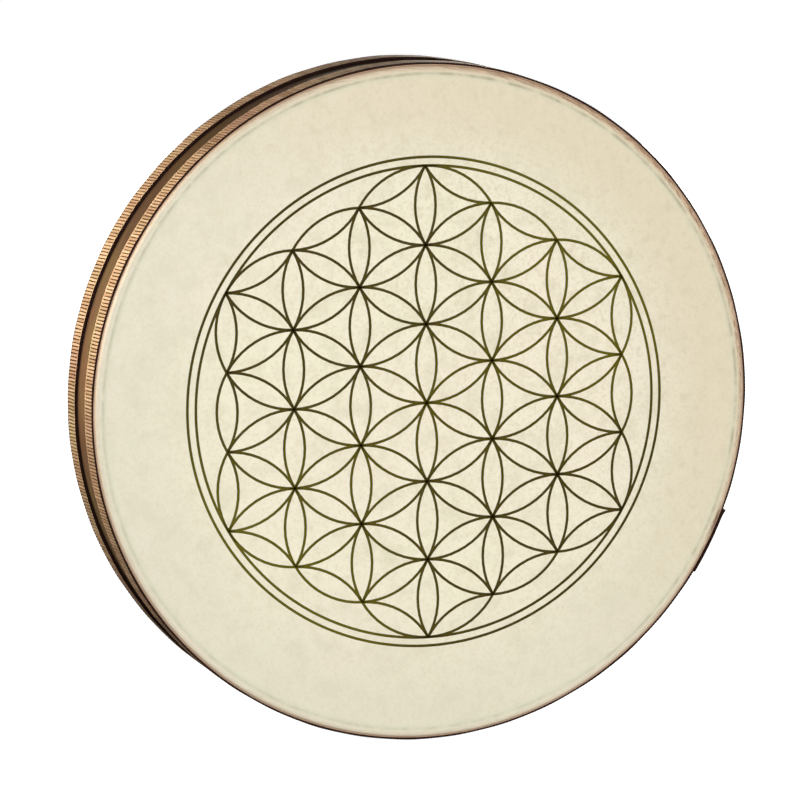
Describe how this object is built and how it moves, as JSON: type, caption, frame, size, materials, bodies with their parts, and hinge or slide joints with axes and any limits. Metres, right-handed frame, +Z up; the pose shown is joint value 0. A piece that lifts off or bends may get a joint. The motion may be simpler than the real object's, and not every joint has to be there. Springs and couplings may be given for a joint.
{
  "type": "frame drum",
  "caption": "Shallow round hoop drum with a hide head stretched over each side, woven trim round both rims and a printed ring of overlapping circles.",
  "frame": {"origin": "middle of the drum, on its axis, halfway between the two heads", "axes": "+Z up; the drum stands upright on its rim; its axis is Y, and the printed front head faces -Y"},
  "size_m": [0.5634, 0.0888, 0.5634],
  "materials": {
    "shell_wood": "brown stained bent wood, satin",
    "hide": "cream drum hide, mottled, matt",
    "braid": "tan ribbed woven trim with dark edges",
    "tack_steel": "plain steel",
    "print": "olive bronze printed line"
  },
  "bodies": {
    "root": {"shell": "shell_wood", "front_head": "hide", "back_head": "hide", "front_braid": "braid", "back_braid": "braid", "front_tacks": "tack_steel", "back_tacks": "tack_steel"}
  },
  "joints": []
}
